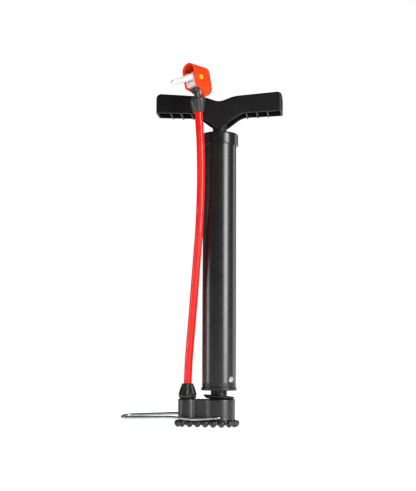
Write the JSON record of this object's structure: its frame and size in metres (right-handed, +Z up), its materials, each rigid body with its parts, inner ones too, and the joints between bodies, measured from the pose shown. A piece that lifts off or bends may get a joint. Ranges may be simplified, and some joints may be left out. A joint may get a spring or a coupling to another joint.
{
  "type": "foot air pump",
  "caption": "Hand-worked tyre pump on a toothed foot base, with a wire foot stirrup, T handle, short hose and lever-locked valve head.",
  "frame": {"origin": "on the floor, on the barrel's axis", "axes": "+Z up the barrel; +X along the handle, away from the hose; -Y towards the side where the hose and valve head are"},
  "size_m": [0.1827, 0.0967, 0.406],
  "materials": {
    "barrel_paint": "glossy black powder coat",
    "cap_gloss": "glossy black moulded plastic",
    "base_black": "satin black moulded plastic",
    "handle_black": "satin black moulded plastic, fine grain",
    "plug_black": "satin black moulded plastic",
    "grip_grey": "dark grey moulded plastic, leaf-fluted",
    "hose_red": "glossy red PVC",
    "head_orange": "orange-red moulded plastic",
    "lever_white": "translucent natural plastic",
    "pin_yellow": "yellow moulded plastic",
    "zinc": "bright zinc plate",
    "steel": "plain steel",
    "rod_steel": "bright drawn steel",
    "rivet_alu": "bright aluminium",
    "nylon": "natural nylon",
    "rubber_black": "black rubber",
    "felt": "grey felt",
    "brass": "turned brass"
  },
  "bodies": {
    "pump": {"barrel_tube": "barrel_paint", "top_cap": "cap_gloss", "rod_guide_bush": "nylon", "rod_wiper": "felt", "bottom_plug": "plug_black", "plug_oring": "rubber_black", "neck_oring": "rubber_black", "barrel_rivets": "rivet_alu", "base_body": "base_black", "channel_plug": "brass", "base_screw": "steel", "dish_washer": "plug_black", "valve_seat": "rubber_black", "check_spring": "steel", "outlet_fitting": "brass", "hose_nut": "plug_black", "air_hose": "hose_red", "hose_sleeve": "grip_grey", "head_stem": "grip_grey", "head_housing": "head_orange", "head_body": "lever_white", "schrader_seal": "rubber_black", "presta_seal": "rubber_black", "lever_pin": "pin_yellow"},
    "handle": {"handle_grip": "handle_black", "handle_pin": "steel", "piston_rod": "rod_steel", "piston_nut": "zinc", "piston_washer": "zinc", "piston_cup": "rubber_black", "piston_body": "nylon", "rod_bumper": "rubber_black"},
    "stirrup": {"foot_stirrup": "zinc"},
    "lever": {"lock_lever": "lever_white"},
    "clamp_plate": {"cam_plate": "nylon"},
    "valve_ball": {"check_ball": "steel"}
  },
  "joints": [
    {"name": "handle_slide", "type": "slide", "parent": "pump", "child": "handle", "axis": [0, 0, 1], "range_m": [0, 0.225]},
    {"name": "stirrup_hinge", "type": "hinge", "parent": "pump", "child": "stirrup", "pos_m": [0.003, 0, 0.0109], "axis": [0, 1, 0], "range_deg": [0, 58]},
    {"name": "lever_hinge", "type": "hinge", "parent": "pump", "child": "lever", "pos_m": [-0.0245, -0.0355, 0.3887], "axis": [-0.8109, 0.547, -0.2079], "range_deg": [0, 40]},
    {"name": "clamp_slide", "type": "slide", "parent": "pump", "child": "clamp_plate", "axis": [0.5592, 0.829, 0], "range_m": [0, 0.0012]},
    {"name": "ball_lift", "type": "slide", "parent": "pump", "child": "valve_ball", "axis": [0, 0, 1], "range_m": [0, 0.0012], "stiffness_N_per_m": 25, "springref_m": -0.002, "deforming": ["check_spring"]}
  ],
  "couplings": [
    {"joint": "clamp_slide", "follows": "lever_hinge", "m_per_rad": 0.001717}
  ]
}
